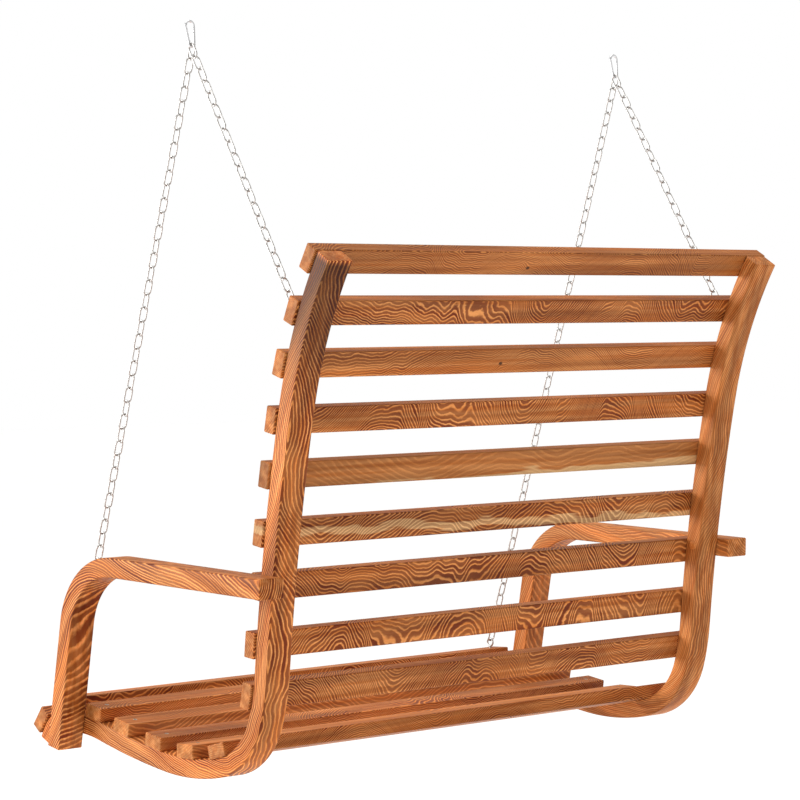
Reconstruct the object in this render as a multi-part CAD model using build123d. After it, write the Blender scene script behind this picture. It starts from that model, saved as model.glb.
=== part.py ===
from build123d import *
import os
from math import acos, asin, atan2, cos, degrees, hypot, radians, sin

# Two-seat slatted porch swing. Millimetres. +Z is up, -Y is the front and +X is the sitter's left.
# The origin is on the hanging line, midway between the two snap hooks, where their top bows bear.

# Slats
SLAT_LENGTH = 1160.0
SLAT_WIDTH = 47.0
SLAT_THICKNESS = 26.0
SLAT_ROUND = 2.5

# Side frames: two bent bars of one depth, from the top of the back to the front of the seat
FRAME_DEPTH = 35.0
FRAME_WIDTH = 54.0
FRAME_OUTER_X = 576.0
FRAME_ROUND = 3.0
FRAME_TOP_HEADING = -34.01  # the slope at which the bench's centre of mass hangs under the snap hooks

# Armrests, on the outer faces of the side frames
ARM_THICKNESS = 36.0
ARM_WIDTH = 54.0
ARM_OVERHANG = 46.7
ARM_TURN_FROM_FRAME_TOP = -60.2
ARM_RAIL_LENGTH = 431.0
ARM_BEND_RADIUS = 135.0
ARM_BEND_TURN = 81.2
ARM_LEG_LENGTH = 241.0

# Where the slats lie, as distances along the side frame from its top end
BACK_FIRST = 22.0
BACK_STEPS = (95.5, 93.5, 97.5, 96.5, 103.0, 94.0, 102.5, 94.5)
SEAT_FIRST = 974.5
SEAT_PITCH = 99.0
ARM_SLAT_STEP = 87.5
CREST_PAST_ROLL = 6.0
SEAT_SINK = 0.4

# Screws
SCREW_LENGTH = 55.0
SCREW_RADIUS = 2.25
SCREW_HEAD_RADIUS = 4.25
SCREW_RIM = 0.6
SCREW_SINK = 0.3
BOLT_RADIUS = 4.0
BOLT_REACH = 32.0
BOLT_HEAD_ACROSS = 13.0
BOLT_HEAD_HEIGHT = 5.5
COUNTERBORE_RADIUS = 8.5
COUNTERBORE_DEPTH = 14.0
PLUG_LENGTH = 6.0
HOLE_PLAY = 0.05

# Screw eyes that take the chains
EYE_X = 549.0
EYE_RING_RADIUS = 8.0
EYE_WIRE_RADIUS = 2.0
EYE_STAND_OFF = 12.0
EYE_SHANK_LENGTH = 52.0
EYE_SHANK_RADIUS = 2.25

# Chains
LINK_WIRE_RADIUS = 1.6
LINK_PITCH = 26.0
LINK_OUTER_WIDTH = 18.0
BACK_CHAIN_LINKS = 21
FRONT_CHAIN_LINKS = 48
LINK_PLAY = 0.1
EYE_PLAY = 0.1
SILL_PLAY = 0.6
LINKS_ASIDE = 1.75

# Snap hooks, in a plane square to the swing's travel, with the spine towards -X
HOOK_LENGTH = 50.0
HOOK_WIRE_RADIUS = 2.5
TOP_BOW_RADIUS = 9.0
LOW_CORNER_RADIUS = 4.3
SILL_LENGTH = 4.0
STUB_LENGTH = 1.2
TONGUE_THICKNESS = 1.8
TONGUE_RADIUS = 2.2
SLOT_WIDTH = 2.4
PIVOT_ABOVE_STUB = 3.0
GATE_RADIUS = 2.5
GATE_LENGTH = 26.9
PIN_RADIUS = 0.8
PIN_PLAY = 0.05


def bend(radius, turn):
    """One arc of a track as (length, turn in degrees); a positive turn swings towards the back."""
    return (radius * radians(abs(turn)), turn)


def straight(length):
    """One straight run of a track."""
    return (length, 0.0)


class Track:
    """A chain of tangent arcs and straight runs in the YZ plane.

    A heading is measured from straight down, positive towards the back, so -90 points to the front.
    """

    def __init__(self, start, heading, runs):
        self.runs = []
        self.length = 0.0
        y, z = start
        for length, turn in runs:
            self.runs.append((self.length, length, turn, y, z, heading))
            y, z, heading = self._step(y, z, heading, length, turn, length)
            self.length += length

    @staticmethod
    def _step(y, z, heading, length, turn, done):
        a = radians(heading)
        if turn == 0.0:
            return y + done * sin(a), z - done * cos(a), heading
        b = a + radians(turn) * done / length
        radius = length / radians(turn)
        return y + radius * (cos(a) - cos(b)), z + radius * (sin(a) - sin(b)), degrees(b)

    def at(self, distance):
        """The point and heading at a distance along the track."""
        reached = [run for run in self.runs if run[0] <= distance + 1e-9]
        begun, length, turn, y, z, heading = reached[-1]
        return self._step(y, z, heading, length, turn, distance - begun)

    def beside(self, distance, offset):
        """The point at an offset from the track, positive on the sitting side."""
        y, z, heading = self.at(distance)
        a = radians(heading)
        return (y - offset * cos(a), z - offset * sin(a))

    def is_hollow(self, distance):
        """Whether the track curves inwards under the sitter there, so that a flat slat needs a seat."""
        return [turn for begun, _, turn, *_ in self.runs if begun <= distance][-1] < 0

    def plane(self, distance, offset, x=0.0):
        """A plane lying on the track's sitting side, with local z out of it and local x along +X."""
        y, z = self.beside(distance, offset)
        a = radians(self.at(distance)[2])
        return Plane(origin=(x, y, z), x_dir=(1, 0, 0), z_dir=(0, -cos(a), -sin(a)))

    def bar(self, thickness, low_x, width, rounding):
        """A bar of one thickness that follows the track, with rounded edges."""
        edges = []
        for side in (thickness / 2, -thickness / 2):
            for begun, length, turn, *_ in self.runs:
                ends = [self.beside(begun + share * length, side) for share in (0.0, 0.5, 1.0)]
                edges.append(Line(ends[0], ends[2]) if turn == 0.0 else ThreePointArc(*ends))
        for end in (0.0, self.length):
            edges.append(Line(self.beside(end, thickness / 2), self.beside(end, -thickness / 2)))
        face = Plane.YZ.offset(low_x) * make_face(edges)
        solid = extrude(face, width)
        sides = solid.faces().filter_by(Axis.X)
        return fillet(sides.edges(), rounding)


def circles_meet(first, first_radius, second, second_radius):
    """The upper of the two points where two circles in the YZ plane cross."""
    dy, dz = second[0] - first[0], second[1] - first[1]
    apart = hypot(dy, dz)
    cosine = (first_radius**2 + apart**2 - second_radius**2) / (2 * first_radius * apart)
    base, swing = atan2(dz, dy), acos(cosine)
    points = [
        (first[0] + first_radius * cos(a), first[1] + first_radius * sin(a))
        for a in (base + swing, base - swing)
    ]
    return max(points, key=lambda point: point[1])


def chain_reach(links, ends_past):
    """Distance that a pulled chain spans between the two wires that it hooks on."""
    link_length = LINK_PITCH + 2 * LINK_WIRE_RADIUS
    return (links - 1) * (LINK_PITCH - LINK_PLAY) + link_length - ends_past


# The bench is laid out from the top of its side frames, then hung below the snap hooks.
FRAME_RUNS = (
    bend(845.0, 19.5),
    bend(4200.0, 6.3),
    bend(435.0, -11.0),
    bend(140.0, -62.0),
    bend(485.0, -18.5),
    bend(1775.0, -6.3),
    bend(330.0, 11.0),
    straight(48.0),
    bend(62.0, 55.0),
    bend(115.0, 12.5),
)
ARM_RUNS = (
    straight(ARM_RAIL_LENGTH),
    bend(ARM_BEND_RADIUS, ARM_BEND_TURN),
    straight(ARM_LEG_LENGTH),
)
BEFORE_ROLL = sum(length for length, _ in FRAME_RUNS[:-2])
NOSE_AT = BEFORE_ROLL + FRAME_RUNS[-2][0]
CREST_AT = BEFORE_ROLL + CREST_PAST_ROLL

BACK_SLATS = [BACK_FIRST + sum(BACK_STEPS[:i]) for i in range(len(BACK_STEPS) + 1)]
LEVEL_SLATS = [SEAT_FIRST + i * SEAT_PITCH for i in range(4)]
SEAT_SLATS = LEVEL_SLATS + [LEVEL_SLATS[-1] + ARM_SLAT_STEP, CREST_AT, NOSE_AT]
BACK_EYE_AT = BACK_SLATS[1]
FRONT_EYE_AT = SEAT_SLATS[5]
SLAT_BEHIND_ARM = 6

SURFACE = FRAME_DEPTH / 2 + SLAT_THICKNESS
EYE_END_PAST = EYE_WIRE_RADIUS + LINK_WIRE_RADIUS + EYE_PLAY
SILL_END_PAST = HOOK_WIRE_RADIUS + LINK_WIRE_RADIUS + SILL_PLAY
SILL_DROP = HOOK_LENGTH - 3 * HOOK_WIRE_RADIUS
SILL_X = LOW_CORNER_RADIUS + SILL_LENGTH / 2 - TOP_BOW_RADIUS


def hung_offset():
    """How far the frame's top end is from the origin, from the lengths of the two chains."""
    bare = Track((0.0, 0.0), FRAME_TOP_HEADING, FRAME_RUNS)
    back_wire = bare.beside(BACK_EYE_AT, SURFACE + EYE_STAND_OFF + EYE_RING_RADIUS)
    front_ring = bare.beside(FRONT_EYE_AT, SURFACE + EYE_STAND_OFF)
    ends_past = EYE_END_PAST + SILL_END_PAST
    sill = circles_meet(
        back_wire,
        chain_reach(BACK_CHAIN_LINKS, ends_past),
        front_ring,
        chain_reach(FRONT_CHAIN_LINKS, ends_past) + EYE_RING_RADIUS,
    )
    return (-sill[0], -sill[1] - SILL_DROP)


TOP_Y, TOP_Z = hung_offset()
FRAME_TRACK = Track((TOP_Y, TOP_Z), FRAME_TOP_HEADING, FRAME_RUNS)
ARM_BOLTS_AT = (588.6, 1403.0)
ARM_TRACK = Track(
    FRAME_TRACK.beside(ARM_BOLTS_AT[0], -ARM_OVERHANG),
    FRAME_TOP_HEADING + ARM_TURN_FROM_FRAME_TOP,
    ARM_RUNS,
)


def turned(profile):
    """A solid of revolution about Z from (radius, height) points, closed on the axis."""
    return revolve(Plane.XZ * make_face(Polyline(*profile, close=True)), Axis.Z)


def screw_profile(play, above):
    """Outline of a countersunk wood screw, head up at z = 0, or of its hole if play is given."""
    head, shank = SCREW_HEAD_RADIUS + play, SCREW_RADIUS + play
    cone_end = -SCREW_RIM - (SCREW_HEAD_RADIUS - SCREW_RADIUS)
    return [
        (0, above),
        (head, above),
        (head, -SCREW_RIM),
        (shank, cone_end),
        (shank, 2 * SCREW_RADIUS - SCREW_LENGTH),
        (0, -SCREW_LENGTH - play),
    ]


def wood_screw():
    """Countersunk wood screw with a cross recess."""
    screw = turned(screw_profile(0.0, 0.0))
    for angle in (0, 90):
        screw -= Rot(0, 0, angle) * Box(4.2, 0.9, 2.4)
    return screw


def arm_bolt():
    """Hexagon-headed lag screw along +X, its head's underside at x = 0."""
    reach = FRAME_WIDTH - COUNTERBORE_DEPTH + BOLT_REACH
    profile = [(0, 0), (BOLT_RADIUS, 0), (BOLT_RADIUS, reach - BOLT_RADIUS), (0, reach)]
    head = extrude(RegularPolygon(BOLT_HEAD_ACROSS / 2, 6, major_radius=False), -BOLT_HEAD_HEIGHT)
    return Rot(0, 90, 0) * (turned(profile) + head)


def arm_bolt_hole():
    """Clearance for one lag screw, its head and its plug."""
    reach = FRAME_WIDTH - COUNTERBORE_DEPTH + BOLT_REACH
    radius = BOLT_RADIUS + HOLE_PLAY
    profile = [
        (0, -COUNTERBORE_DEPTH - 1),
        (COUNTERBORE_RADIUS, -COUNTERBORE_DEPTH - 1),
        (COUNTERBORE_RADIUS, 0),
        (radius, 0),
        (radius, reach - BOLT_RADIUS),
        (0, reach + HOLE_PLAY),
    ]
    return Rot(0, 90, 0) * turned(profile)


def slat_surface(distance):
    """Offset from the track of a slat's sitting face; in the frame's hollow the slats are let in."""
    return SURFACE - SEAT_SINK if FRAME_TRACK.is_hollow(distance) else SURFACE


def slat_plane(distance):
    """The plane through the middle of a slat's thickness."""
    return FRAME_TRACK.plane(distance, slat_surface(distance) - SLAT_THICKNESS / 2)


def screw_places(distance):
    """The planes on a slat's face where its two end screws sit."""
    lift = slat_surface(distance) - SCREW_SINK
    return [FRAME_TRACK.plane(distance, lift, x) for x in (EYE_X, -EYE_X)]


def bolt_places():
    """Each lag screw's head plane, as (side, location)."""
    seat_x = FRAME_OUTER_X - FRAME_WIDTH + COUNTERBORE_DEPTH
    places = []
    for side in (1, -1):
        for distance in ARM_BOLTS_AT:
            y, z, _ = FRAME_TRACK.at(distance)
            turn = 0 if side == 1 else 180
            places.append((side, Pos(side * seat_x, y, z) * Rot(0, 0, turn)))
    return places


def eye_screw(ring_turn, play=0.0):
    """Screw eye with its ring's centre at the origin and its shank down local -z."""
    tip = EYE_SHANK_LENGTH + play
    shank = EYE_SHANK_RADIUS + play
    profile = [
        (0, -EYE_RING_RADIUS),
        (shank, -EYE_RING_RADIUS),
        (shank, 2 * EYE_SHANK_RADIUS - tip),
        (0, -tip),
    ]
    ring = Rot(0, 0, ring_turn) * Rot(90, 0, 0) * Torus(EYE_RING_RADIUS, EYE_WIRE_RADIUS)
    return ring + turned(profile)


def eye_places():
    """Name, plane at the ring's centre and turn of the ring about the shank, for each screw eye."""
    lift = SURFACE + EYE_STAND_OFF
    places = {}
    for name, x in (("left", EYE_X), ("right", -EYE_X)):
        places[f"eye_screw_back_{name}"] = (FRAME_TRACK.plane(BACK_EYE_AT, lift, x), 0)
        places[f"eye_screw_front_{name}"] = (FRAME_TRACK.plane(FRONT_EYE_AT, lift, x), 90)
    return places


def side_frame(side):
    """One bent side frame, with seats for the slats in its hollow and holes for what is screwed to it."""
    low_x = FRAME_OUTER_X - FRAME_WIDTH if side == 1 else -FRAME_OUTER_X
    frame = FRAME_TRACK.bar(FRAME_DEPTH, low_x, FRAME_WIDTH, FRAME_ROUND)
    screw_hole = turned(screw_profile(HOLE_PLAY, 1.0))
    cutters = []
    for distance in BACK_SLATS + SEAT_SLATS:
        if distance not in (BACK_EYE_AT, FRONT_EYE_AT):
            place = screw_places(distance)[0 if side == 1 else 1]
            cutters.append(place.location * screw_hole)
    for distance in BACK_SLATS + SEAT_SLATS:
        if FRAME_TRACK.is_hollow(distance):
            seat = Box(SLAT_LENGTH, SLAT_WIDTH, SLAT_THICKNESS)
            cutters.append(slat_plane(distance).location * seat)
    cutters += [place * arm_bolt_hole() for bolt_side, place in bolt_places() if bolt_side == side]
    for name, (plane, turn) in eye_places().items():
        if name.endswith("left") == (side == 1):
            cutters.append(plane.location * eye_screw(turn, HOLE_PLAY))
    return frame - cutters


def armrest(side):
    """One armrest: a rail that bends down into a leg, held to the side frame's outer face."""
    low_x = FRAME_OUTER_X if side == 1 else -FRAME_OUTER_X - ARM_WIDTH
    arm = ARM_TRACK.bar(ARM_THICKNESS, low_x, ARM_WIDTH, FRAME_ROUND)
    return arm - [place * arm_bolt_hole() for bolt_side, place in bolt_places() if bolt_side == side]


def slat(distance, length):
    """One slat, on the sitting side of the side frames, with its end holes."""
    blank = Box(length, SLAT_WIDTH, SLAT_THICKNESS)
    blank = fillet(blank.edges(), SLAT_ROUND)
    board = slat_plane(distance).location * blank
    if distance in (BACK_EYE_AT, FRONT_EYE_AT):
        plug = Cylinder(EYE_SHANK_RADIUS + HOLE_PLAY, 2 * SLAT_THICKNESS)
        return board - [place.location * plug for place in screw_places(distance)]
    screw_hole = turned(screw_profile(HOLE_PLAY, 1.0))
    return board - [place.location * screw_hole for place in screw_places(distance)]


def slat_screws(distances):
    """The wood screws of one set of slats, one at each slat's end."""
    screw = wood_screw()
    held = [d for d in distances if d not in (BACK_EYE_AT, FRONT_EYE_AT)]
    return [place.location * screw for d in held for place in screw_places(d)]


def chain_link():
    """One link about the origin: its length along local z, its loop in the local xz plane."""
    bend_radius = LINK_OUTER_WIDTH / 2 - LINK_WIRE_RADIUS
    leg_length = LINK_PITCH + 4 * LINK_WIRE_RADIUS - LINK_OUTER_WIDTH
    first_leg = Line((-bend_radius, 0), (-bend_radius, leg_length / 2))
    crown = CenterArc(first_leg @ 1 + Vector(bend_radius, 0), bend_radius, 180, -180)
    second_leg = Line(crown @ 1, (bend_radius, 0))
    half_path = Plane.XZ * Wire([run.edge() for run in (first_leg, crown, second_leg)])
    section = Plane(origin=half_path @ 0, z_dir=half_path % 0) * Circle(LINK_WIRE_RADIUS)
    half = sweep(section, path=half_path)
    return half + mirror(half, Plane.XY)


def chain(start, end, end_past, links, first_turn):
    """The links of one chain, pulled straight between the sill wire and the screw eye's wire."""
    start, end = Vector(*start), Vector(*end)
    along = (end - start).normalized()
    first = start - along * SILL_END_PAST
    last = end + along * end_past
    half_length = LINK_PITCH / 2 + LINK_WIRE_RADIUS
    spacing = ((last - first).length - 2 * half_length) / (links - 1)
    side = Vector(0, 1, 0) - along * along.Y
    frame = Plane(origin=(0, 0, 0), x_dir=side, z_dir=-along)
    link = chain_link()
    solids = []
    for i in range(links):
        centre = first + along * (half_length + i * spacing)
        place = Plane(origin=centre, x_dir=frame.x_dir, z_dir=frame.z_dir)
        turn = first_turn + 90 * (i % 2)
        solids.append(place.location * Rot(0, 0, turn) * link)
    return solids


def chains():
    """All four chains by name."""
    built = {}
    for name, sign in (("left", 1), ("right", -1)):
        sill_x = sign * EYE_X + SILL_X
        back_y, back_z = FRAME_TRACK.beside(BACK_EYE_AT, SURFACE + EYE_STAND_OFF + EYE_RING_RADIUS)
        ring_y, ring_z = FRAME_TRACK.beside(FRONT_EYE_AT, SURFACE + EYE_STAND_OFF)
        rise = Vector(0, -ring_y, -SILL_DROP - ring_z).normalized() * EYE_RING_RADIUS
        built[f"chain_back_{name}"] = chain(
            (sill_x + LINKS_ASIDE, 0, -SILL_DROP),
            (sign * EYE_X, back_y, back_z),
            EYE_END_PAST,
            BACK_CHAIN_LINKS,
            0,
        )
        built[f"chain_front_{name}"] = chain(
            (sill_x - LINKS_ASIDE, 0, -SILL_DROP),
            (sign * EYE_X, ring_y + rise.Y, ring_z + rise.Z),
            EYE_END_PAST,
            FRONT_CHAIN_LINKS,
            0,
        )
    return built


def pivot_point():
    """The gate pivot's (x, z) from the hook's top bearing point."""
    stub_top = LOW_CORNER_RADIUS + STUB_LENGTH - SILL_DROP
    x = SILL_X + SILL_LENGTH / 2 + LOW_CORNER_RADIUS
    return x, stub_top + PIVOT_ABOVE_STUB


def snap_hook(x):
    """The bent-wire body of one snap hook, with the flattened tongue that carries its gate."""
    bow_z = HOOK_WIRE_RADIUS - TOP_BOW_RADIUS
    bow = JernArc((TOP_BOW_RADIUS, bow_z), (0, 1), TOP_BOW_RADIUS, 180)
    spine = Line(bow @ 1, (-TOP_BOW_RADIUS, LOW_CORNER_RADIUS - SILL_DROP))
    heel = JernArc(spine @ 1, (0, -1), LOW_CORNER_RADIUS, 90)
    sill = Line(heel @ 1, (heel @ 1) + Vector(SILL_LENGTH, 0))
    toe = JernArc(sill @ 1, (1, 0), LOW_CORNER_RADIUS, 90)
    stub = Line(toe @ 1, (toe @ 1) + Vector(0, STUB_LENGTH))
    path = Plane.XZ * Wire([run.edge() for run in (bow, spine, heel, sill, toe, stub)])
    section = Plane(origin=path @ 0, z_dir=path % 0) * Circle(HOOK_WIRE_RADIUS)
    pivot_x, pivot_z = pivot_point()
    root = 0.5
    tongue = Box(2 * TONGUE_RADIUS, TONGUE_THICKNESS, PIVOT_ABOVE_STUB + root)
    tongue = Pos(0, 0, -(PIVOT_ABOVE_STUB + root) / 2) * tongue
    tongue += Rot(90, 0, 0) * Cylinder(TONGUE_RADIUS, TONGUE_THICKNESS)
    tongue -= Rot(90, 0, 0) * Cylinder(PIN_RADIUS, 2 * TONGUE_THICKNESS)
    return Pos(x, 0, 0) * (sweep(section, path=path) + Pos(pivot_x, 0, pivot_z) * tongue)


def snap_gate(x):
    """The forked gate of one snap hook, shut against the nose of the top bow."""
    pivot_x, pivot_z = pivot_point()
    lean = degrees(asin((TOP_BOW_RADIUS - pivot_x) / GATE_LENGTH))
    gate = Cylinder(GATE_RADIUS, GATE_LENGTH, align=(Align.CENTER, Align.CENTER, Align.MIN))
    gate = fillet(gate.edges().sort_by(Axis.Z)[-1], 0.6)
    gate += Rot(90, 0, 0) * Cylinder(GATE_RADIUS, 2 * GATE_RADIUS - 0.6)
    slot_top = TONGUE_RADIUS + 0.5
    gate -= Pos(0, 0, slot_top / 2 - GATE_RADIUS) * Box(8, SLOT_WIDTH, slot_top + 2 * GATE_RADIUS)
    gate -= Rot(90, 0, 0) * Cylinder(PIN_RADIUS + PIN_PLAY, 8)
    return Pos(x + pivot_x, 0, pivot_z) * Rot(0, lean, 0) * gate


def gate_pin(x):
    """The rivet through the gate's fork and the hook's tongue."""
    pivot_x, pivot_z = pivot_point()
    return Pos(x + pivot_x, 0, pivot_z) * Rot(90, 0, 0) * Cylinder(PIN_RADIUS, 2 * GATE_RADIUS)


def build_nodes():
    """Every node of the swing by name, as a list of solids."""
    nodes = {}
    for name, side in (("left", 1), ("right", -1)):
        nodes[f"side_frame_{name}"] = [side_frame(side)]
        nodes[f"armrest_{name}"] = [armrest(side)]
        nodes[f"snap_hook_{name}"] = [snap_hook(side * EYE_X)]
        nodes[f"snap_gate_{name}"] = [snap_gate(side * EYE_X)]
        nodes[f"gate_pin_{name}"] = [gate_pin(side * EYE_X)]
    for i, distance in enumerate(BACK_SLATS):
        flush = 2 * FRAME_OUTER_X
        nodes[f"back_slat_{i + 1}"] = [slat(distance, flush if i == SLAT_BEHIND_ARM else SLAT_LENGTH)]
    for i, distance in enumerate(SEAT_SLATS):
        nodes[f"seat_slat_{i + 1}"] = [slat(distance, SLAT_LENGTH)]
    for name, (plane, turn) in eye_places().items():
        nodes[name] = [plane.location * eye_screw(turn)]
    nodes["back_slat_screws"] = slat_screws(BACK_SLATS)
    nodes["seat_slat_screws"] = slat_screws(SEAT_SLATS)
    nodes["arm_bolts"] = [place * arm_bolt() for _, place in bolt_places()]
    plug = Rot(0, 90, 0) * Cylinder(COUNTERBORE_RADIUS, PLUG_LENGTH)
    seat = Pos(PLUG_LENGTH / 2 - COUNTERBORE_DEPTH, 0, 0)
    nodes["arm_plugs"] = [place * seat * plug for _, place in bolt_places()]
    nodes.update(chains())
    return nodes


os.makedirs("parts", exist_ok=True)
for node, pieces in build_nodes().items():
    solids = [solid for piece in pieces for solid in piece.solids()]
    shape = solids[0] if len(solids) == 1 else Compound(children=solids)
    export_step(shape, f"parts/{node}.step")
    print(node, len(solids), round(sum(solid.volume for solid in solids)))
print("frame top", round(TOP_Y, 2), round(TOP_Z, 2), "track", round(FRAME_TRACK.length, 1))
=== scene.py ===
import random
from math import cos, degrees, hypot, pi, radians, sin

import bpy
import numpy as np
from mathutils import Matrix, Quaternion, Vector


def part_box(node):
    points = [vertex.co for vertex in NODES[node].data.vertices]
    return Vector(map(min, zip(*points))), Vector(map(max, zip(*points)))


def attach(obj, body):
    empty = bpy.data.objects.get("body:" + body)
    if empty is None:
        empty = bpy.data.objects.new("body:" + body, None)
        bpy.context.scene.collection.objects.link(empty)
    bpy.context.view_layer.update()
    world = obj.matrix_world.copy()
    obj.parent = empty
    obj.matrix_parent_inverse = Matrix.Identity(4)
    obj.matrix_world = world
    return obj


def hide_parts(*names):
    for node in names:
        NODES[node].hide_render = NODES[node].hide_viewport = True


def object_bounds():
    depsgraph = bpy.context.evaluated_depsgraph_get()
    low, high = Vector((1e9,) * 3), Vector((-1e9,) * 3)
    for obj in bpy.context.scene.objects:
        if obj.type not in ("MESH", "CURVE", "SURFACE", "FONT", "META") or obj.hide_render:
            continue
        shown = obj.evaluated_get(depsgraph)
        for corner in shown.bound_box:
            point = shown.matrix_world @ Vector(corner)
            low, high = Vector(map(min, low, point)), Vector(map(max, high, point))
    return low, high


# Looks of a two-seat slatted porch swing. Metres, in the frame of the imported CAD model:
# +Z is up, -Y is the front and +X is the sitter's left.

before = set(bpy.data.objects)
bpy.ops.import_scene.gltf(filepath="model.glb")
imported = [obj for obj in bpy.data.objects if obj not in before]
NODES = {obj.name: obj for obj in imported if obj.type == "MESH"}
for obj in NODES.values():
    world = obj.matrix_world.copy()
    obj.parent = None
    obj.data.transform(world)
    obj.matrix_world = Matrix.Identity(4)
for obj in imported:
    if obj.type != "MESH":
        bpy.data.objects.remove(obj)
CAD_LOW, CAD_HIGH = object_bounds()

MM = 0.001

# Side frames and armrests, as in the CAD source: a run is (radius or length in mm, turn in degrees)
FRAME_DEPTH = 35 * MM
FRAME_HEADING = -34.01
FRAME_RUNS = (
    (845, 19.5),
    (4200, 6.3),
    (435, -11.0),
    (140, -62.0),
    (485, -18.5),
    (1775, -6.3),
    (330, 11.0),
    (48, 0.0),
    (62, 55.0),
    (115, 12.5),
)
ARM_THICKNESS = 36 * MM
ARM_HEADING = FRAME_HEADING - 60.2
ARM_RUNS = ((431, 0.0), (135, 81.2), (241, 0.0))
EDGE_ROUND = 3 * MM
END_ROUND = 1.2 * MM
BAR_STEP = 5 * MM

# Slats
SLAT_WIDTH = 47 * MM
SLAT_THICKNESS = 26 * MM
SLAT_ROUND = 2.5 * MM

# Chains: LINK_WIRE is the wire's radius, LINK_SLACK how far a link may be turned, in degrees
LINK_WIRE = 1.6 * MM
LINK_PITCH = 26 * MM
LINK_WIDTH = 18 * MM
LINK_SLACK = 2.5
WELD_SWELL = 0.16
WELD_LENGTH = 1.5 * MM

# Plugs: pairs of (height over the frame, radius) in mm, from the hidden end to the dome
PLUG_PROFILE = ((-5.0, 8.5), (0.1, 8.5), (0.45, 8.0), (0.6, 4.0))
PLUG_AROUND = 40

# The left frame's dark top below its lighter end, as pairs of (mm from the middle, tone)
DARK_TOP = ((-764, 0.35), (-758, -0.68), (-640, -0.60), (-540, -0.22), (-440, 0.15), (0, 0.05))

# Stained wood: early wood, the honey tone in its streaks, late wood, sapwood and knots
EARLY_WOOD = (0.85, 0.345, 0.104)
HONEY_WOOD = (0.64, 0.198, 0.038)
LATE_WOOD = (0.155, 0.022, 0.002)
SAP_WOOD = (0.95, 0.60, 0.28)
KNOT_WOOD = (0.035, 0.014, 0.007)
FAR = 9e3  # mm, where a board without a knot or sap streak has them


# ---------------------------------------------------------------- bent bars


class Track:
    """Tangent arcs and straight runs in the YZ plane, as (radius or length in mm, turn in degrees).

    A heading is measured from straight down, positive towards the back.
    """

    def __init__(self, start, heading, runs):
        self.runs = []
        self.length = 0.0
        y, z = start
        for size, turn in runs:
            length = size * MM * (radians(abs(turn)) if turn else 1.0)
            self.runs.append((self.length, length, turn, y, z, heading))
            y, z, heading = self._step(y, z, heading, length, turn, length)
            self.length += length

    @staticmethod
    def _step(y, z, heading, length, turn, done):
        a = radians(heading)
        if turn == 0.0:
            return y + done * sin(a), z - done * cos(a), heading
        b = a + radians(turn) * done / length
        radius = length / radians(turn)
        return y + radius * (cos(a) - cos(b)), z + radius * (sin(a) - sin(b)), degrees(b)

    def at(self, distance):
        """The point and heading at a distance along the track."""
        reached = [run for run in self.runs if run[0] <= distance + 1e-9]
        begun, length, turn, y, z, heading = reached[-1]
        return self._step(y, z, heading, length, turn, distance - begun)

    def beside(self, distance, offset):
        """The point at an offset from the track, positive on the sitting side."""
        y, z, heading = self.at(distance)
        a = radians(heading)
        return y - offset * cos(a), z - offset * sin(a)

    def nearest(self, y, z, step=2 * MM):
        """The distance along the track that is nearest to a point."""
        tries = [i * step for i in range(int(self.length / step) + 1)]
        return min(tries, key=lambda d: hypot(self.at(d)[0] - y, self.at(d)[1] - z))


def fitted_track(node, thickness, heading, runs):
    """The track of a bent bar, put where the CAD node's box says."""
    bare = Track((0.0, 0.0), heading, runs)
    stations = np.linspace(0.0, bare.length, 2000)
    outline = np.array([bare.beside(d, o) for d in stations for o in (thickness / 2, -thickness / 2)])
    low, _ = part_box(node)
    return Track((low.y - outline[:, 0].min(), low.z - outline[:, 1].min()), heading, runs)


def rounded_section(width, thickness, rounding, steps=5):
    """Points (across, through) round a rectangle with rounded corners."""
    points = []
    for corner, (sx, sz) in enumerate(((1, 1), (-1, 1), (-1, -1), (1, -1))):
        for i in range(steps + 1):
            a = radians(90 * (corner + i / steps))
            points.append(
                (
                    sx * (width / 2 - rounding) + rounding * cos(a),
                    sz * (thickness / 2 - rounding) + rounding * sin(a),
                )
            )
    return np.array(points)


def new_object(name, vertices, faces):
    """A mesh object with smooth faces, in the scene."""
    mesh = bpy.data.meshes.new(name)
    mesh.from_pydata([tuple(v) for v in vertices], [], faces)
    mesh.validate()
    mesh.polygons.foreach_set("use_smooth", [True] * len(mesh.polygons))
    obj = bpy.data.objects.new(name, mesh)
    bpy.context.scene.collection.objects.link(obj)
    return obj


def tube_faces(rings, around, closed=False):
    """Quads between rings of points, and end caps unless the tube closes on itself."""
    faces = []
    for i in range(rings if closed else rings - 1):
        j = (i + 1) % rings
        for k in range(around):
            m = (k + 1) % around
            faces.append((i * around + k, i * around + m, j * around + m, j * around + k))
    if not closed:
        faces.append(tuple(reversed(range(around))))
        faces.append(tuple(range((rings - 1) * around, rings * around)))
    return faces


def point_attribute(obj, name, values):
    """Stores one vector for each vertex."""
    attribute = obj.data.attributes.new(name, "FLOAT_VECTOR", "POINT")
    attribute.data.foreach_set("vector", np.asarray(values, np.float32).ravel())


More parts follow.
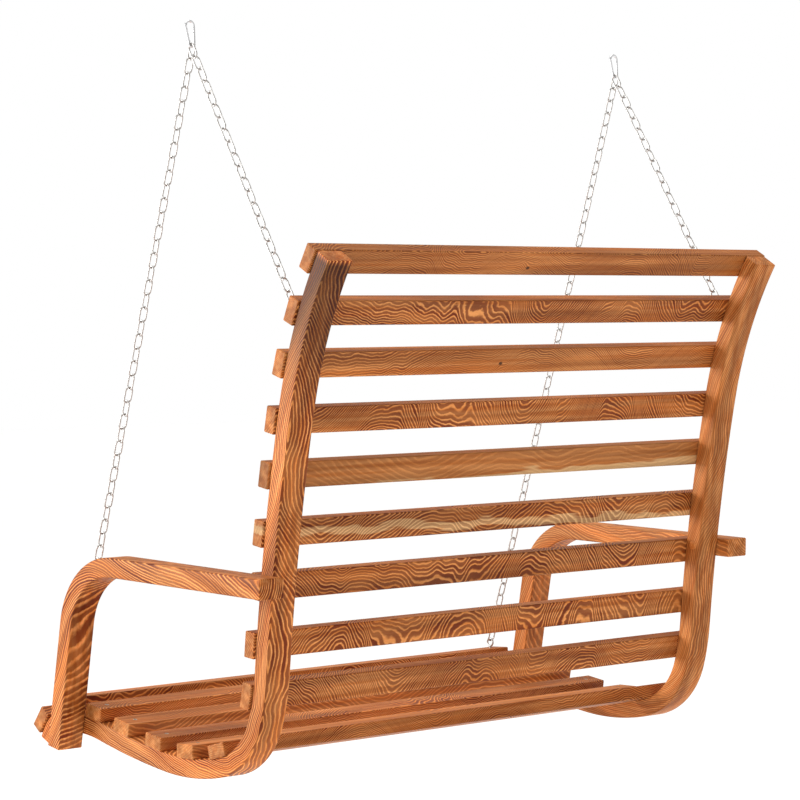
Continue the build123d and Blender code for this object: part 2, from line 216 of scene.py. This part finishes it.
def bent_bar(name, node, track, thickness, board):
    """A bar swept along a track, with rounded edges and the log coordinates of its wood."""
    low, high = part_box(node)
    width, centre_x = high.x - low.x, (low.x + high.x) / 2
    section = rounded_section(width, thickness, EDGE_ROUND)
    turns = [radians(a) for a in (0, 30, 60, 90)]
    end = [(END_ROUND * (1 - cos(a)), END_ROUND * (1 - sin(a))) for a in turns]
    middle = np.arange(END_ROUND, track.length - END_ROUND, BAR_STEP)[1:]
    stations = end + [(distance, 0.0) for distance in middle]
    stations += [(track.length - distance, inset) for distance, inset in reversed(end)]
    vertices, local = [], []
    for distance, inset in stations:
        scale = np.array([1 - 2 * inset / width, 1 - 2 * inset / thickness])
        for across, through in section * scale:
            y, z = track.beside(distance, through)
            vertices.append((centre_x + across, y, z))
            local.append((distance - track.length / 2, across, through))
    faces = tube_faces(len(stations), len(section))
    obj = new_object(name, vertices, faces)
    edge_shade = edge_share(np.array(local)[:, 1:], width, thickness, EDGE_ROUND)
    mark_wood(obj, np.array(local), edge_shade, board)
    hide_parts(node)
    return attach(obj, "bench")


# ---------------------------------------------------------------- wire


def closed_wire(points, radii, side, around=14):
    """Vertices and faces of a wire along a flat closed path whose plane is square to side."""
    along = np.roll(points, -1, axis=0) - np.roll(points, 1, axis=0)
    along /= np.linalg.norm(along, axis=1)[:, None]
    inward = np.cross(along, side)
    angles = np.linspace(0, 2 * pi, around, endpoint=False)
    rings = [
        point + radius * (np.cos(angles)[:, None] * normal + np.sin(angles)[:, None] * side)
        for point, radius, normal in zip(points, radii, inward)
    ]
    return np.vstack(rings), tube_faces(len(points), around, closed=True)


def link_shape():
    """One chain link about the origin, in the XZ plane, with the swelling of its butt weld."""
    bend_radius = LINK_WIDTH / 2 - LINK_WIRE
    half_leg = (LINK_PITCH + 4 * LINK_WIRE - LINK_WIDTH) / 2
    leg = np.linspace(-half_leg, half_leg, 13)[:-1]
    turn = np.linspace(0, pi, 13)[:-1]
    path = [(-bend_radius, z) for z in leg]
    path += [(-bend_radius * cos(a), half_leg + bend_radius * sin(a)) for a in turn]
    path += [(bend_radius, -z) for z in leg]
    path += [(bend_radius * cos(a), -half_leg - bend_radius * sin(a)) for a in turn]
    points = np.array([(x, 0.0, z) for x, z in path])
    radii = np.full(len(points), LINK_WIRE)
    radii[: len(leg)] *= 1 + WELD_SWELL * np.exp(-((leg / WELD_LENGTH) ** 2))
    return closed_wire(points, radii, np.array([0.0, 1.0, 0.0]))


def chain(name, draw):
    """A chain of welded links, each where the CAD chain has one."""
    cad = np.array([v.co for v in NODES[name].data.vertices], float)
    middle = cad.mean(axis=0)
    along = np.linalg.svd(cad - middle, full_matrices=False)[2][0]
    along *= -np.sign(along[2])
    reach = (cad - middle) @ along
    half_link = LINK_PITCH / 2 + 2 * LINK_WIRE
    first, last = reach.min() + half_link, reach.max() - half_link
    links = round((last - first) / LINK_PITCH) + 1
    across = np.array([0.0, 1.0, 0.0]) - along * along[1]
    across /= np.linalg.norm(across)
    shape, shape_faces = link_shape()
    vertices, faces = [], []
    for i, centre in enumerate(np.linspace(first, last, links)):
        slack = draw.uniform(-LINK_SLACK, LINK_SLACK)
        turn = radians(90 * (i % 2) + slack + 180 * draw.choice((0, 1)))
        width = cos(turn) * across + sin(turn) * np.cross(along, across)
        axes = np.array([width, np.cross(along, width), along])
        begun = i * len(shape)
        vertices.append(middle + along * centre + shape @ axes)
        faces += [tuple(begun + corner for corner in face) for face in shape_faces]
    obj = new_object(f"{name}_links", np.vstack(vertices), faces)
    obj.data.materials.append(bpy.data.materials["chain_steel"])
    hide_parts(name)
    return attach(obj, "bench")


def chains():
    """All four chains."""
    draw = random.Random(21)
    for name in sorted(n for n in NODES if n.startswith("chain_")):
        chain(name, draw)


# ---------------------------------------------------------------- where each board was cut


class Board:
    """Where a board lay in its log, and how its wood looks.

    pith is the log's centre seen from the board's middle, (across, through) in mm.
    dive is how far the fibres leave the board's length, (across, through) in mm per metre.
    figure is how much the growth rings wave along the board, tone how light or dark it is:
    one number, or pairs of a place along the board in mm and the tone there.
    knot is the place of a small knot, (along, across) in mm, and sap says where across the
    board a pale streak of sapwood runs, in mm at its middle and the change per metre.
    ring is how wide the growth rings are in mm, and faint how much they fade, from 0 to 1.
    """

    def __init__(self, pith, dive=(0, 0), ring=3.6, **look):
        self.pith, self.dive, self.ring = pith, dive, ring
        self.figure = look.get("figure", 1.0)
        self.faint = look.get("faint", 0.0)
        self.tone = look.get("tone", 0.0)
        self.knot = look.get("knot", (FAR, FAR))
        self.sap = look.get("sap", (FAR, 0))

    def tone_at(self, along):
        if isinstance(self.tone, (int, float)):
            return self.tone
        places, tones = zip(*self.tone)
        return np.interp(along, np.array(places) * MM, tones)


def edge_share(points, width, thickness, rounding):
    """1 along the middle of each rounded edge, falling to 0 where the flat faces begin."""
    past = np.abs(points) - (np.array([width, thickness]) / 2 - rounding)
    middle = 0.7 * rounding  # how far past both flat faces the middle of a rounded edge lies
    return np.clip(past.min(axis=1) / middle, 0.0, 1.0)


def mark_wood(obj, local, edge_shade, board):
    """Stores the log coordinates, the board's look and the ways to its knot and sap on a mesh."""
    seed = sum(ord(letter) * (i + 3) for i, letter in enumerate(obj.name))
    shift = random.Random(seed).uniform(-40.0, 40.0)
    log = np.array(local, float)
    log[:, 1] += board.dive[0] * MM * local[:, 0] - board.pith[0] * MM
    log[:, 2] += board.dive[1] * MM * local[:, 0] - board.pith[1] * MM
    log[:, 0] += shift
    point_attribute(obj, "grain", log)
    look = np.empty_like(log)
    # the third value is how much painted shade each rounded edge gets
    look[:, 0], look[:, 1], look[:, 2] = board.tone_at(local[:, 0]), board.figure, edge_shade
    point_attribute(obj, "board", look)
    way = np.column_stack([local[:, 0], local[:, 1], local[:, 1] - board.sap[1] * MM * local[:, 0]])
    way -= np.array([*board.knot, board.sap[0]]) * MM
    point_attribute(obj, "ways", way)
    years = np.zeros_like(log)
    years[:, 0], years[:, 1] = board.ring * MM, board.faint
    point_attribute(obj, "years", years)


def mark_slat(name, track, board):
    """Gives a CAD slat its log coordinates, from its own middle and the frame's heading there."""
    obj = NODES[name]
    points = np.array([v.co for v in obj.data.vertices], float)
    low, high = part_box(name)
    middle = (low + high) / 2
    a = radians(track.at(track.nearest(middle.y, middle.z))[2])
    along_track, outwards = np.array([sin(a), -cos(a)]), np.array([-cos(a), -sin(a)])
    offset = points[:, 1:] - np.array([middle.y, middle.z])
    local = np.column_stack([points[:, 0], offset @ along_track, offset @ outwards])
    edge_shade = edge_share(local[:, 1:], SLAT_WIDTH, SLAT_THICKNESS, SLAT_ROUND)
    mark_wood(obj, local, edge_shade, board)


# ---------------------------------------------------------------- node trees


class Shade:
    """A short way to write the node tree of one of the model's materials."""

    def __init__(self, slot):
        self.material = bpy.data.materials[slot]
        self.material.use_nodes = True
        self.tree = self.material.node_tree
        self.tree.nodes.clear()
        self.surface = self.tree.nodes.new("ShaderNodeBsdfPrincipled")
        output = self.tree.nodes.new("ShaderNodeOutputMaterial")
        self.tree.links.new(self.surface.outputs[0], output.inputs[0])

    def put(self, socket, value):
        """Links a socket, or sets it to a constant."""
        if isinstance(value, bpy.types.NodeSocket):
            self.tree.links.new(value, socket)
        else:
            socket.default_value = value

    def node(self, kind, *inputs, **settings):
        made = self.tree.nodes.new("ShaderNode" + kind)
        for key, value in settings.items():
            setattr(made, key, value)
        for socket, value in zip(made.inputs, inputs):
            self.put(socket, value)
        return made

    def math(self, operation, *values):
        return self.node("Math", *values, operation=operation).outputs[0]

    def times(self, a, b):
        return self.math("MULTIPLY", a, b)

    def plus(self, a, b):
        return self.math("ADD", a, b)

    def spread(self, value, low, high, to_low=0.0, to_high=1.0):
        """A value's range mapped smoothly on another, held at its ends."""
        ends = (low, high, to_low, to_high)
        return self.node("MapRange", value, *ends, interpolation_type="SMOOTHSTEP").outputs[0]

    def attribute(self, name):
        return self.node("Attribute", attribute_name=name).outputs["Vector"]

    def parts(self, vector):
        return self.node("SeparateXYZ", vector).outputs

    def vector(self, x, y, z):
        return self.node("CombineXYZ", x, y, z).outputs[0]

    def noise(self, place, scale, detail):
        made = self.node("TexNoise")
        self.put(made.inputs["Vector"], place)
        made.inputs["Scale"].default_value = scale
        made.inputs["Detail"].default_value = detail
        return made.outputs["Fac"]

    def grain_noise(self, grain, along, across, detail):
        """Noise with one scale along the log and another across it."""
        x, y, z = grain
        place = self.vector(self.times(x, along), self.times(y, across), self.times(z, across))
        return self.noise(place, 1.0, detail)

    def around_zero(self, noise, size):
        """A noise's value less its middle, times a size."""
        return self.times(self.math("SUBTRACT", noise, 0.5), size)

    def mix(self, share, a, b, blend="MIX"):
        made = self.node("Mix", data_type="RGBA", blend_type=blend)
        self.put(made.inputs["Factor"], share)
        for socket, value in ((made.inputs[6], a), (made.inputs[7], b)):
            self.put(socket, (*value, 1.0) if isinstance(value, tuple) else value)
        return made.outputs[2]

    def bump(self, height, distance, strength):
        made = self.node("Bump")
        self.put(made.inputs["Height"], height)
        made.inputs["Distance"].default_value = distance
        made.inputs["Strength"].default_value = strength
        self.put(self.surface.inputs["Normal"], made.outputs[0])


# ---------------------------------------------------------------- wood


def waved_radius(s, grain, figure, quick):
    """The distance from the pith, which waves slowly along the log, with quicker ripples."""
    _, y, z = grain
    slow = s.grain_noise(grain, 3.6, 1.0, 0.0)
    ripple = s.grain_noise(grain, 90.0, 120.0, 2.0)
    wave = s.times(s.around_zero(slow, 0.27), figure)
    wave = s.plus(wave, s.times(s.around_zero(quick, 0.034), figure))
    wave = s.plus(wave, s.around_zero(ripple, 0.0018))
    return s.plus(s.math("SQRT", s.plus(s.times(y, y), s.times(z, z))), wave)


def late_wood(s, grain, radius, ring, faint):
    """Rings of uneven width: pale early wood shades into a dark line, which ends sharply."""
    years = s.noise(s.vector(s.times(radius, 40.0), 0.0, 0.0), 1.0, 1.0)
    rings = s.plus(s.math("DIVIDE", radius, ring), s.times(years, 2.2))
    through = s.math("FRACT", rings)
    chance = s.node("TexWhiteNoise", noise_dimensions="1D")
    s.put(chance.inputs["W"], s.math("FLOOR", rings))
    late = s.times(s.spread(through, 0.08, 0.40), s.spread(through, 1.0, 0.84))
    late = s.times(late, s.spread(chance.outputs["Value"], 0.0, 1.0, 0.80, 1.0))
    late = s.times(late, s.math("SUBTRACT", 1.0, faint))
    calm = s.grain_noise(grain, 5.0, 25.0, 1.0)
    return s.times(late, s.spread(calm, 0.36, 0.54, 0.72, 1.0))


def wood(slot, sawn_across_x):
    """Oiled softwood with strong growth rings about the log's axis, the x axis of "grain".

    sawn_across_x is set where every face square to the model's x axis is a sawn board end.
    """
    s = Shade(slot)
    grain = s.parts(s.attribute("grain"))
    tone, figure, edge_shade = s.parts(s.attribute("board"))
    knot_x, knot_y, sap = s.parts(s.attribute("ways"))
    ring, faint, _ = s.parts(s.attribute("years"))

    # a small knot pushes the rings aside and is dark itself
    knot = s.math("SQRT", s.plus(s.times(knot_x, s.times(knot_x, 0.5)), s.times(knot_y, knot_y)))
    push = s.spread(knot, 0.0, 16 * MM, 5.0 * MM, 0.0)
    heart = s.spread(knot, 2.0 * MM, 4.2 * MM, 1.0, 0.0)

    quick = s.grain_noise(grain, 15.0, 5.0, 1.0)
    radius = s.plus(waved_radius(s, grain, figure, quick), push)
    late = late_wood(s, grain, radius, ring, faint)
    if sawn_across_x:
        facing = s.parts(s.node("NewGeometry").outputs["Normal"])[0]
        end = s.spread(s.math("ABSOLUTE", facing), 0.75, 0.95)
        late = s.times(late, s.spread(end, 0.0, 1.0, 1.0, 0.60))
        tone = s.plus(tone, s.times(end, -0.28))

    # fibres, lengthwise streaks, broad bands and short resin lines
    fibre = s.grain_noise(grain, 45.0, 1500.0, 3.0)
    streak = s.grain_noise(grain, 2.5, 110.0, 2.0)
    band = s.grain_noise(grain, 1.6, 48.0, 1.0)
    resin = s.spread(s.grain_noise(grain, 130.0, 2600.0, 0.0), 0.70, 0.80)

    # the pale streak of sapwood has an uneven edge
    edge = s.times(s.math("SUBTRACT", s.plus(quick, streak), 1.0), 0.024)
    sap = s.spread(s.math("ABSOLUTE", s.plus(sap, edge)), 5 * MM, 10 * MM, 1.0, 0.0)
    late = s.times(late, s.spread(sap, 0.0, 1.0, 1.0, 0.60))

    colour = s.mix(s.spread(streak, 0.30, 0.70), HONEY_WOOD, EARLY_WOOD)
    colour = s.mix(s.times(sap, 0.75), colour, SAP_WOOD)
    colour = s.mix(late, colour, LATE_WOOD)
    colour = s.mix(s.times(resin, 0.45), colour, LATE_WOOD)
    colour = s.mix(s.times(heart, 0.85), colour, KNOT_WOOD)

    # lighter and darker fibres and bands, the board's own tone, and painted shade along the rounded
    # edges
    value = s.plus(0.90, s.times(fibre, 0.22))
    value = s.times(value, s.spread(band, 0.30, 0.70, 0.74, 1.12))
    value = s.times(value, s.plus(1.0, tone))
    # painted shade: the rounded edges are darkened by up to 16 percent, standing in for the shadow
    # line along them
    value = s.times(value, s.spread(edge_shade, 0.0, 1.0, 1.0, 0.84))
    colour = s.mix(1.0, colour, s.vector(value, value, value), "MULTIPLY")
    s.put(s.surface.inputs["Base Color"], colour)

    rough = s.plus(s.spread(late, 0.0, 1.0, 0.56, 0.44), s.around_zero(fibre, 0.16))
    s.put(s.surface.inputs["Roughness"], rough)
    s.surface.inputs["Specular IOR Level"].default_value = 0.14
    s.bump(s.plus(s.times(late, 0.6), s.times(fibre, 0.5)), 0.18 * MM, 0.6)


def woods():
    """The four woods of the bench, all with the same stain."""
    for slot in ("slat_wood", "frame_wood", "arm_wood", "plug_wood"):
        wood(slot, sawn_across_x=slot == "slat_wood")


# ---------------------------------------------------------------- steel


def galvanized(slot, light, dark, roughness):
    """Zinc-coated steel: faint mottling and a finely grained surface."""
    s = Shade(slot)
    place = s.node("TexCoord").outputs["Object"]
    patch = s.noise(place, 420.0, 3.0)
    grain = s.noise(place, 2600.0, 2.0)
    colour = s.mix(s.spread(patch, 0.3, 0.7), dark, light)
    s.put(s.surface.inputs["Base Color"], colour)
    s.surface.inputs["Metallic"].default_value = 1.0
    s.put(s.surface.inputs["Roughness"], s.spread(patch, 0.25, 0.75, roughness - 0.1, roughness + 0.1))
    s.bump(grain, 0.06 * MM, 0.35)


def steels():
    """The five metals: duller chains and eyes, brighter hooks and gates, yellowish screws."""
    galvanized("chain_steel", (0.64, 0.62, 0.60), (0.38, 0.365, 0.35), 0.42)
    galvanized("eye_steel", (0.60, 0.59, 0.58), (0.36, 0.35, 0.34), 0.40)
    galvanized("hook_steel", (0.88, 0.88, 0.89), (0.70, 0.70, 0.71), 0.36)
    galvanized("gate_steel", (0.86, 0.86, 0.87), (0.70, 0.70, 0.71), 0.38)
    galvanized("screw_steel", (0.66, 0.60, 0.50), (0.44, 0.38, 0.30), 0.34)


# ---------------------------------------------------------------- pieces


def frames_and_armrests():
    """The four bent bars."""
    track = fitted_track("side_frame_left", FRAME_DEPTH, FRAME_HEADING, FRAME_RUNS)
    arm_track = fitted_track("armrest_left", ARM_THICKNESS, ARM_HEADING, ARM_RUNS)
    boards = {
        "side_frame_left": Board(
            pith=(-150, 380), dive=(0, -185), ring=4.0, figure=0.5, tone=DARK_TOP
        ),
        "side_frame_right": Board(
            pith=(130, 240), dive=(0, -210), figure=0.4, faint=0.32, tone=-0.06
        ),
        "armrest_left": Board(pith=(50, 150), dive=(0, -320), ring=5.2, figure=0.3),
        "armrest_right": Board(
            pith=(-50, 150), dive=(0, -230), ring=5.0, figure=0.5, faint=0.36, tone=-0.06
        ),
    }
    for side in ("left", "right"):
        node = f"side_frame_{side}"
        bar = bent_bar(f"bent_{node}", node, track, FRAME_DEPTH, boards[node])
        bar.data.materials.append(bpy.data.materials["frame_wood"])
        node = f"armrest_{side}"
        bar = bent_bar(f"bent_{node}", node, arm_track, ARM_THICKNESS, boards[node])
        bar.data.materials.append(bpy.data.materials["arm_wood"])
    return track


def slats(track):
    """Log coordinates for the CAD slats, each from its own board."""
    draw = random.Random(7)
    marks = {
        "back_slat_1": {"knot": (61, 8.2), "figure": 0.8, "ring": 2.6, "faint": 0.2, "tone": -0.12},
        "back_slat_2": {"ring": 2.8},
        "back_slat_3": {"knot": (59, 4.4), "figure": 0.8, "ring": 2.6, "faint": 0.2},
        "back_slat_4": {"ring": 3.6, "figure": 1.3},
        "back_slat_5": {"sap": (26, 24), "figure": 0.35, "faint": 0.65, "ring": 5.0, "tone": -0.3},
        "back_slat_6": {"sap": (8, -21), "ring": 4.4},
        "back_slat_7": {"ring": 4.4, "figure": 1.2},
        "seat_slat_2": {"ring": 5.0, "figure": 0.45, "faint": 0.45},
        "seat_slat_4": {"ring": 4.6, "figure": 0.5, "faint": 0.35},
    }
    for name in sorted(n for n in NODES if n.startswith(("back_slat_", "seat_slat_"))):
        if name.endswith("screws"):
            continue
        look = {
            "pith": (draw.choice((-1, 1)) * draw.uniform(40, 90), draw.uniform(60, 100)),
            "dive": (draw.uniform(-15, 15), draw.uniform(-30, 30)),
            "figure": draw.uniform(0.95, 1.35),
            "ring": draw.uniform(3.2, 4.2),
            "tone": draw.uniform(-0.06, 0.06),
        }
        mark_slat(name, track, Board(**{**look, **marks.get(name, {})}))


def plug(points, x_side):
    """Vertices and faces of one plug, turned about an x axis where the CAD plug's points are."""
    low, high = points.min(axis=0), points.max(axis=0)
    face = min(abs(low[0]), abs(high[0]))
    y, z = (low[1] + high[1]) / 2, (low[2] + high[2]) / 2
    turns = np.linspace(0, -2 * pi * x_side, PLUG_AROUND, endpoint=False)
    vertices = [
        (x_side * (face - proud * MM), y + radius * MM * cos(a), z + radius * MM * sin(a))
        for proud, radius in PLUG_PROFILE
        for a in turns
    ]
    return vertices, tube_faces(len(PLUG_PROFILE), PLUG_AROUND)


def plugs():
    """The wooden plugs over the lag screws, slightly domed and a hair proud of the frames."""
    cad = np.array([v.co for v in NODES["arm_plugs"].data.vertices], float)
    vertices, faces = [], []
    for x_side in (-1, 1):
        mine = cad[cad[:, 0] * x_side > 0]
        split = mine[:, 1].mean()
        for group in (mine[mine[:, 1] < split], mine[mine[:, 1] > split]):
            first = len(vertices)
            plug_vertices, plug_faces = plug(group, x_side)
            vertices += plug_vertices
            faces += [[first + corner for corner in face] for face in plug_faces]
    made = new_object("turned_plugs", vertices, faces)
    made.data.materials.append(bpy.data.materials["plug_wood"])
    local = np.array(vertices) - np.array(vertices).mean(axis=0)
    mark_wood(made, local, np.zeros(len(vertices)), Board(pith=(30, 45), figure=0.3, faint=0.6))
    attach(made, "bench")
    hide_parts("arm_plugs")


# ---------------------------------------------------------------- studio


def area_light(name, place, aim, size, power):
    data = bpy.data.lights.new(name, "AREA")
    data.shape = "DISK"
    data.size = size
    data.energy = power
    lamp = bpy.data.objects.new(name, data)
    bpy.context.scene.collection.objects.link(lamp)
    lamp.location = place
    lamp.rotation_euler = (Vector(aim) - Vector(place)).to_track_quat("-Z", "Y").to_euler()


def floor():
    """A pale floor below the hanging seat, which only shows from above."""
    drop = 0.42
    reach = 900.0
    z = CAD_LOW.z - drop
    corners = [(reach * cos(a), reach * sin(a), z) for a in np.linspace(0, 2 * pi, 64, endpoint=False)]
    disc = new_object("floor", corners, [tuple(range(64))])
    material = bpy.data.materials.new("floor_paint")
    disc.data.materials.append(material)
    s = Shade("floor_paint")
    place = s.node("TexCoord").outputs["Object"]
    mottle = s.spread(s.noise(place, 1.2, 3.0), 0.3, 0.7)
    s.put(s.surface.inputs["Base Color"], s.mix(mottle, (0.93, 0.93, 0.93), (0.95, 0.95, 0.95)))
    s.surface.inputs["Roughness"].default_value = 0.8
    clear = s.node("BsdfTransparent").outputs[0]
    below = s.node("NewGeometry").outputs["Backfacing"]
    mixed = s.node("MixShader", below, s.surface.outputs[0], clear).outputs[0]
    output = next(n for n in s.tree.nodes if n.type == "OUTPUT_MATERIAL")
    s.tree.links.new(mixed, output.inputs[0])


def studio():
    """Soft white surroundings and broad lights."""
    world = bpy.data.worlds.new("studio")
    bpy.context.scene.world = world
    world.use_nodes = True
    nodes, links = world.node_tree.nodes, world.node_tree.links
    nodes.clear()
    fill = nodes.new("ShaderNodeBackground")
    fill.inputs["Color"].default_value = (1.0, 0.99, 0.97, 1.0)
    fill.inputs["Strength"].default_value = 0.50
    seen = nodes.new("ShaderNodeBackground")
    seen.inputs["Color"].default_value = (1.0, 1.0, 1.0, 1.0)
    seen.inputs["Strength"].default_value = 1.0
    path = nodes.new("ShaderNodeLightPath")
    mix = nodes.new("ShaderNodeMixShader")
    output = nodes.new("ShaderNodeOutputWorld")
    links.new(path.outputs["Is Camera Ray"], mix.inputs[0])
    links.new(fill.outputs[0], mix.inputs[1])
    links.new(seen.outputs[0], mix.inputs[2])
    links.new(mix.outputs[0], output.inputs[0])
    middle = (CAD_LOW + CAD_HIGH) / 2
    area_light("key", place=(3.9, -3.0, 0.4), aim=middle, size=2.6, power=250)
    overhead = bpy.data.lights.new("overhead", "SUN")
    overhead.energy = 1.95
    overhead.angle = radians(70)
    lamp = bpy.data.objects.new("overhead", overhead)
    bpy.context.scene.collection.objects.link(lamp)
    bpy.context.scene.view_settings.view_transform = "Standard"


def camera():
    """A long lens behind the bench, to the sitter's left, rolled by about two degrees."""
    data = bpy.data.cameras.new("camera")
    data.sensor_width = 36.0
    data.lens = 128.9
    data.clip_end = 2000.0
    obj = bpy.data.objects.new("camera", data)
    bpy.context.scene.collection.objects.link(obj)
    obj.location = (3.7288, 4.0278, -0.7123)
    view = Vector((-0.6719, -0.7407, 0.0046))
    roll = Quaternion((0, 0, 1), radians(-2.158))
    obj.rotation_euler = (view.to_track_quat("-Z", "Y") @ roll).to_euler()
    bpy.context.scene.camera = obj


woods()
steels()
frame_track = frames_and_armrests()
slats(frame_track)
plugs()
chains()
floor()
studio()
camera()
